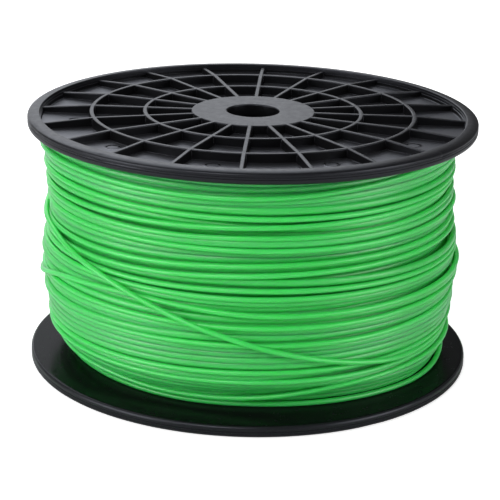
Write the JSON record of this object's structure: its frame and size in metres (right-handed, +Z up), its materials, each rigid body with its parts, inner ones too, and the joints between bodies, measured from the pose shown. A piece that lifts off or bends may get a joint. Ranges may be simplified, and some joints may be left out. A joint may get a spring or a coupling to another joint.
{
  "type": "filament spool",
  "caption": "Black plastic spool with ribbed flanges, wound full of green filament for a 3-D printer; turns on a shaft through its bore",
  "frame": {"origin": "centre of the lower flange's outer face, where the spool stands", "axes": "+Z up along the bore, from the lower flange to the upper one; +Y away from the view in the picture, +X to its right"},
  "size_m": [0.155, 0.155, 0.0887],
  "materials": {
    "flange_plastic": "moulded black, satin",
    "barrel_plastic": "moulded black, satin",
    "filament_plastic": "extruded green, slightly translucent"
  },
  "bodies": {
    "root": {"upper_flange": "flange_plastic", "lower_flange": "flange_plastic", "barrel": "barrel_plastic", "filament_core": "filament_plastic", "filament_outer_turns": "filament_plastic"}
  },
  "joints": []
}
